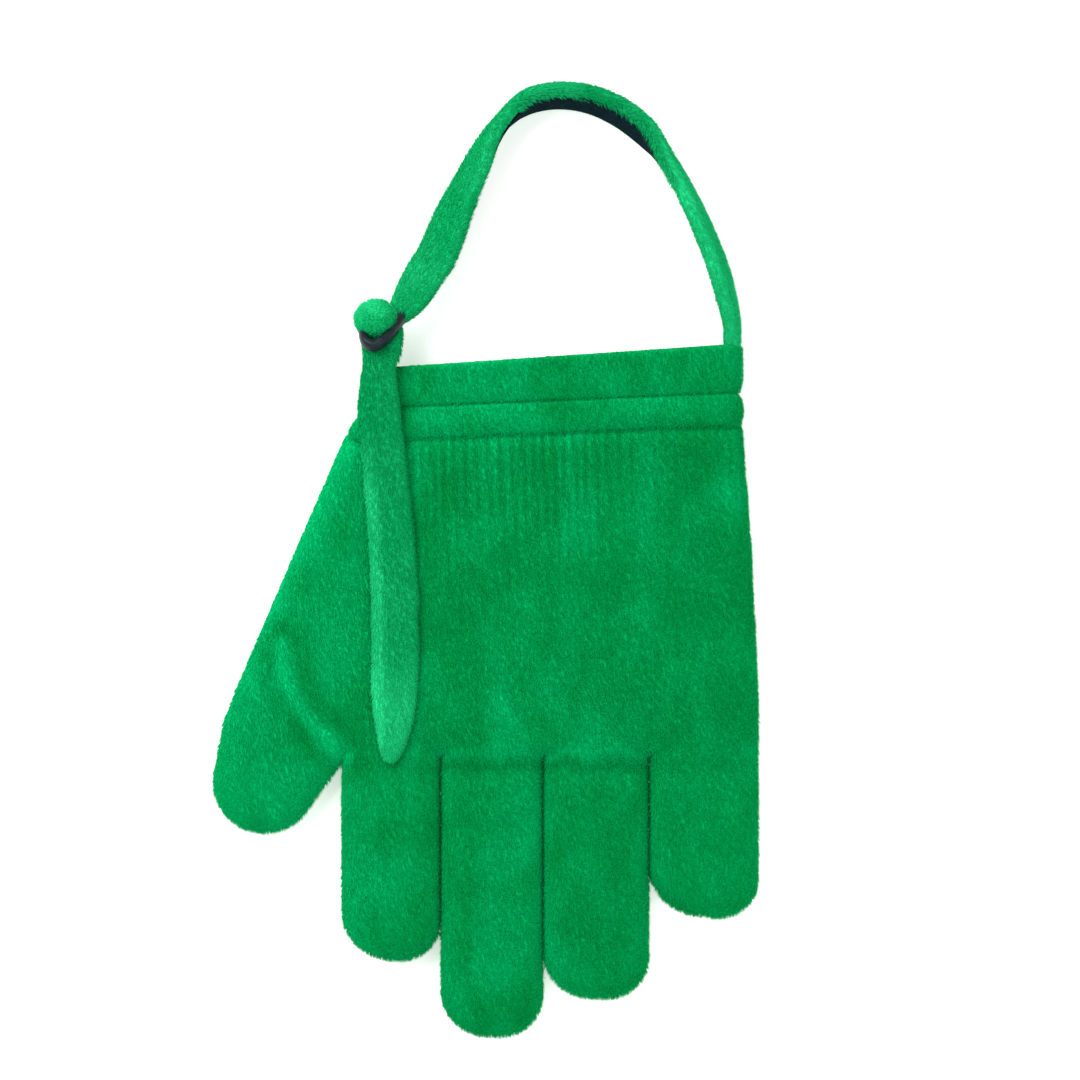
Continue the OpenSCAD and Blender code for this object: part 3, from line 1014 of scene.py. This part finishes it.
strap = {
    "thick": 6.0,
    "tape": 1.1,
    "tapeInset": (2.0, 3.2),
    # X, Y, lean and half width, from inside the cuff round the arc to the keeper ring
    "route": [
        (91, 68, 0, 3.4), (90.6, 78, 0, 4), (90.3, 83.2, -3, 5.0),
        (90.2, 89.2, -10, 6.4), (88.6, 97.1, -15, 7.8), (86.5, 105, -17, 8.8),
        (83.5, 113.9, -17, 8.8), (79.9, 122.8, -16, 8.8), (75.9, 131.7, -14, 8.8),
        (71.4, 140.6, -11, 8.8), (65.6, 150.3, -6, 8.8), (58.7, 159.6, 11, 8.8),
        (49.6, 166.9, 15, 8.8), (39.0, 171.5, 12, 8.8), (28, 172.9, 9, 8.8),
        (17.6, 171.1, 7, 8.8), (9.9, 165.3, -5, 8.8), (4.0, 157.8, -15, 8.8),
        (-0.5, 148.9, -28, 8.8), (-5.0, 140.0, -35, 8.8), (-9.6, 131.0, -45, 8.7),
        (-13.6, 122.0, -53, 8.5), (-17.4, 113.9, -60, 8.2), (-21.7, 107.5, -66, 7.7),
        (-26.0, 100.6, -72, 7.0), (-29.6, 95.4, -78, 6.0), (-32.8, 91.2, -80, 4.2),
        (-34.9, 88.2, -80, 2.6),
    ],
    "steps": 5,
    "tapeFrom": 10,
    "tapeShort": 17,  # rings of the route left bare before the keeper
    "fringeFrom": 12.0,
    "around": 18,
}


def bandSection(thick, squareness=0.55, flatSide=0.0):
    def section(i, p):
        half = p[4]
        out = []
        for k in range(strap["around"]):
            a = 2 * math.pi * k / strap["around"]
            u = math.copysign(abs(math.cos(a)) ** squareness, math.cos(a)) * half
            m = math.copysign(abs(math.sin(a)) ** squareness, math.sin(a)) * thick / 2
            if m < 0:
                m *= 1 - flatSide
            out.append((u, thick / 2 + m))
        return out
    return section


def strapRoute():
    points = []
    for x, y, lean, half in strap["route"]:
        rise = half * math.cos(math.radians(lean)) + 4.0 * abs(math.sin(math.radians(lean))) + 0.9
        if y < 90 and x > 0:
            rise = 9.0
        if x < -16:
            rise += (-16 - x) * 0.55
        points.append((x, y, rise, lean, half))
    return splineThrough(points, strap["steps"])


def pileOn(name, base, move, seed, density, length, keep=None, stand=0.6):
    made = addPile(name, base, litPile, density * quickShare, length, 0.18, seed, stand=stand,
                   keep=keep)
    move(made)


def makeStrap():
    s = strap
    route = strapRoute()
    move = bending()
    band = sweepObject("strap", route, bandSection(s["thick"], flatSide=0.2), litCloth, -1.0,
                       lambda x, y, z: 0.35 * ripple(x, y, 16, 31.0) + 0.6 * smooth((x - 55) / 20))
    around = s["around"]
    lined = s["tapeFrom"] * s["steps"] * around  # the first face beside the lining

    def besideLining(f):
        return not 10 < f.index % around < 16 or f.index < lined

    def aboveLining(f):
        return (f.index % around > 14 and f.index > lined - s["steps"] * around
                and f.calc_center_median().x > s["fringeFrom"] * mm)

    pileOn("pile_strap", band, move, 101, 3.6, 1.6, besideLining)
    # longer strands hang over the lining's upper edge
    fringe = addPile("strap_fringe", band, litPile, 5.0 * quickShare, 2.6, 0.24, 104, stand=1.1,
                     scatter=0.5, brushing=2.2, keep=aboveLining)
    move(fringe)
    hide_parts("strap_plush", "strap_anchor")
    move(band)

    def tapeSection(i, p):
        shown, hidden = s["tapeInset"]
        half = p[4] - hidden + (hidden - shown) * smooth(p[3] / 4)
        out = []
        for k in range(14):
            a = 2 * math.pi * k / 14
            u = math.copysign(abs(math.cos(a)) ** 0.3, math.cos(a)) * half
            m = math.copysign(abs(math.sin(a)) ** 0.5, math.sin(a)) * s["tape"] / 2
            out.append((u, m - s["tape"] / 2 + 0.75))
        return out

    stretch = route[s["tapeFrom"] * s["steps"]:-s["tapeShort"]]
    lining = sweepObject("strap_lining", stretch, tapeSection, tape)
    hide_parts("strap_tape")
    move(lining)


makeStrap()
print("strap made")


tail = {
    "thick": 4.6,
    # X, Y, Z and half width, from behind the ring down to the pointed end
    "route": [
        (-37.2, 91.5, 17.6, 5.0), (-37.8, 88, 19.2, 6.6), (-38.2, 84.9, 20.2, 7.4),
        (-39.0, 77.5, 20.6, 6.9), (-39.9, 72.5, 20.5, 5.8), (-40.2, 57.9, 20.0, 7.6),
        (-38.8, 43.2, 19.0, 7.6), (-37.3, 26.6, 17.8, 8.0), (-35.5, 9.9, 17.4, 8.2),
        (-34.5, -7.7, 17.4, 8.4), (-34.1, -27.3, 17.4, 8.4), (-34.3, -45.0, 17.2, 8.4),
        (-34.6, -54.8, 17.0, 7.8), (-35.0, -64.7, 16.7, 6.0), (-35.6, -71.6, 16.3, 4.0),
        (-36.2, -75.8, 15.9, 1.6),
    ],
    "steps": 6,
}


def makeTail():
    t = tail
    route = [(x, y, z, 90.0, half) for x, y, z, half in t["route"]]
    route = splineThrough(route, t["steps"])
    move = bending()

    def section(i, p):
        out = []
        lift = 0.5 * ripple(p[0], p[1], 22, 3.0)
        for u, m in bandSection(t["thick"], 0.7, 0.3)(i, p):
            wave = 1 + 0.07 * ripple(p[0] + 9 * (u > 0), p[1], 9, 14.0)
            out.append((u * wave, t["thick"] / 2 - m + lift * (u / 9)))
        return out

    def toneAt(x, y, z):
        # painted sheen strip along the left edge over random tone; darker overall and towards the ring
        # end, lighter towards the pointed end
        centre = float(np.interp(y, [p[1] for p in reversed(route)], [p[0] for p in reversed(route)]))
        sheenStrip = 0.95 * smooth((centre - x - 2.8) / 1.6) * smooth((50 - y) / 25)
        return (0.25 * ripple(x, y, 14, 33.0) - 0.5 - 0.2 * smooth((y - 20) / 60) + sheenStrip
                + 0.85 * smooth((-30 - y) / 26))

    band = sweepObject("tail", route, section, litCloth, 1.0, toneAt)
    pileOn("pile_tail", band, move, 111, 3.8, 1.6, stand=0.7)
    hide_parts("tail_plush")
    move(band)

    def tapeSection(i, p):
        half = max(p[4] - 1.6, 0.5)
        return [(half * u, m) for u, m in ((-1, 2.3), (1, 2.3), (1, 1.5), (-1, 1.5))]

    lining = sweepObject("tail_lining", route[3 * t["steps"]:-2], tapeSection, tape)
    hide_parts("tail_tape")
    move(lining)


makeTail()
print("tail made")


# keeper ring, the plush bunched through it and the tab that holds it

keeper = {
    # the loop's centre line, from the near lower left corner round to the right and behind
    "loop": [(-45.2, 82.6, 25.4), (-43.8, 80.4, 26.8), (-41.5, 79.5, 27.1), (-39.0, 80.5, 26.7),
             (-36.7, 82.7, 25.4), (-34.0, 86.6, 22.4), (-31.4, 91.2, 18.8), (-31.8, 92.8, 16.0),
             (-34.0, 93.8, 14.4), (-39.6, 93.6, 14.0), (-43.6, 92.2, 14.8), (-45.2, 89.8, 17.8),
             (-45.8, 86.6, 21.6)],
    "bar": (2.5, 1.8),
    "ball": (-41.1, 89.9, 22.8),
    "ballSize": (7.7, 6.9, 6.4),
    "tabX": -40.6,
    "tabThick": 2.0,
    "tab": [(64, 12.6), (72, 13.0), (80, 12.6), (86, 12.0), (90, 11.3), (93.0, 11.0), (95.2, 12.0),
            (95.9, 14.0), (95.2, 16.0), (93.0, 17.0), (90, 16.5), (86, 15.6)],
}


def closedSpline(points, steps):
    n = len(points)
    long = splineThrough([points[(k - 2) % n] for k in range(n + 5)], steps)
    return long[2 * steps:(n + 2) * steps]


def makeKeeper():
    k = keeper
    path = [np.array(p) for p in closedSpline(k["loop"], 8)]
    centre = sum(path) / len(path)
    plane = np.cross(path[20] - centre, path[60] - centre)
    plane /= np.linalg.norm(plane)
    verts, faces = [], []
    n, around = len(path), 16
    for i, p in enumerate(path):
        way = path[(i + 1) % n] - path[i - 1]
        way /= np.linalg.norm(way)
        side = np.cross(way, plane)
        side /= np.linalg.norm(side)
        up = np.cross(side, way)
        for a in range(around):
            b = 2 * math.pi * a / around
            ca, sa = math.cos(b), math.sin(b)
            u = math.copysign(abs(ca) ** 0.7, ca) * k["bar"][1]
            v = math.copysign(abs(sa) ** 0.7, sa) * k["bar"][0]
            verts.append(tuple(p + side * u + up * v))
    for i in range(n):
        for a in range(around):
            b = (a + 1) % around
            j = (i + 1) % n
            faces.append((i * around + a, i * around + b, j * around + b, j * around + a))
    ring = makeObject("keeper", verts, faces, ringPlastic)
    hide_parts("keeper_ring")
    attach(ring, "ring")

    centre = Vector(k["ball"])
    rings = []
    rows, around = 26, 40
    for r in range(1, rows):
        a = math.pi * r / rows
        row = []
        for c in range(around):
            b = 2 * math.pi * c / around
            way = Vector((math.sin(a) * math.cos(b), math.sin(a) * math.sin(b), math.cos(a)))
            crease = 0.6 * noise.noise(way * 1.7) + 0.25 * noise.noise(way * 4.0)
            swell = 1 + 0.1 * crease
            row.append(tuple(centre[q] + way[q] * k["ballSize"][q] * swell for q in range(3)))
        rings.append(list(reversed(row)))
    verts, faces = loft(rings)
    naps = [tuple((Vector(v) - centre).cross(Vector((0.3, 1, 0.2))).normalized()) for v in verts]
    # painted highlight on the ball's far side, towards the key light, over random tone
    tones = [0.6 * smooth((y - centre.y + 2) / 6) + 0.3 * ripple(x, y, 5, 51.0) for x, y, z in verts]
    ball = makeObject("strap_ball", verts, faces, litCloth, naps, tones)
    pileOn("pile_ball", ball, riding("ring"), 121, 4.2, 1.5, stand=0.8)
    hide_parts("strap_fold")
    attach(ball, "ring")

    path = splineThrough([(k["tabX"], y, z) for y, z in k["tab"]], 4)
    rings = []
    section = bandSection(k["tabThick"])
    for way, p in zip(frameAlong(path), path):
        up = np.cross(way, (1.0, 0, 0))
        half = 5.0 - 1.4 * smooth((p[1] - 80) / 12)  # the tab narrows into the ring
        ring = section(0, (0, 0, 0, 0, half))
        rings.append([tuple(p + np.array((u, 0, 0)) + up * m) for u, m in ring])
    if isInward(rings):
        rings = [list(reversed(r)) for r in rings]
    verts, faces = loft(rings)
    tab = makeObject("tab", verts, faces, cloth, [(0, -1.0, 0)] * len(verts))
    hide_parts("ring_tab")
    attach(tab, "glove")


makeKeeper()
print("keeper made")


# stitches along the two seams and round the strap's end

stitching = {"length": 3.2, "radius": 0.28, "arch": 0.35, "pitch": 4.2, "boxPitch": 4.0}


def makeStitch():
    s = stitching
    rings = []
    for k in range(6):
        t = k / 5
        rise = math.sin(math.pi * t)
        width = s["radius"] * (0.5 + 0.5 * rise)
        rings.append([((t - 0.5) * s["length"], width * math.cos(math.pi * a / 3),
                       s["arch"] * rise + width * math.sin(math.pi * a / 3)) for a in range(6)])
    return makeObject("stitch", *loft(rings), thread)


def makeStitchTree():
    tree, given = startTree("stitchAlong", ("Pitch",))
    link = tree.links.new
    line = tree.nodes.new("GeometryNodeMeshToCurve")
    link(given.outputs["Geometry"], line.inputs["Mesh"])
    spaced = node(tree, "GeometryNodeResampleCurve", {"mode": "LENGTH"})
    link(line.outputs["Curve"], spaced.inputs["Curve"])
    link(given.outputs["Pitch"], spaced.inputs["Length"])
    turn = node(tree, "FunctionNodeAlignRotationToVector", {"axis": "X", "pivot_axis": "Z"})
    link(tree.nodes.new("GeometryNodeInputTangent").outputs[0], turn.inputs["Vector"])
    plantCopies(tree, given, spaced.outputs["Curve"], turn.outputs["Rotation"])
    return tree


stitch = makeStitch()
stitchTree = makeStitchTree()


def sewAlong(name, lines, pitch, replaced):
    verts, edges = [], []
    for line in lines:
        edges += [(len(verts) + k, len(verts) + k + 1) for k in range(len(line) - 1)]
        verts += [tuple(c * mm for c in p) for p in line]
    path = bpy.data.meshes.new("sewingLine")
    path.from_pydata(verts, edges, [])
    source = bpy.data.objects.new("sewingLine", path)
    collection.objects.link(source)
    mod = source.modifiers.new("stitches", "NODES")
    mod.node_group = stitchTree
    setInputs(mod, {"Copied": stitch, "Pitch": pitch * mm, "Material": thread})
    made = evaluated(source, name)
    bpy.data.objects.remove(source)
    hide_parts(replaced)
    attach(made, "glove")


def makeSewing():
    s = stitching
    top = cuff["middle"] + cuff["half"] - 1.9
    right = cuff["right"] - cuff["half"]
    left = -30
    seams = [[(left, seamAt(left), top), (right, seamAt(right), top)]
             for seamAt in (lowSeamAt, highSeamAt)]
    sewAlong("cuff_stitches", seams, s["pitch"], "cuff_stitching")
    top = cuff["middle"] + cuff["half"] - 0.9
    box = [[(80, 69, top), (80, 77, top)], [(91, 69, top), (91, 77, top)],
           [(81.5, 67, top), (89.5, 67, top)], [(81.5, 78, top), (89.5, 78, top)]]
    sewAlong("anchor_stitches", box, s["boxPitch"], "anchor_stitching")


makeSewing()
for pattern in (tuft, stitch):
    bpy.data.objects.remove(pattern)
print("sewing made")
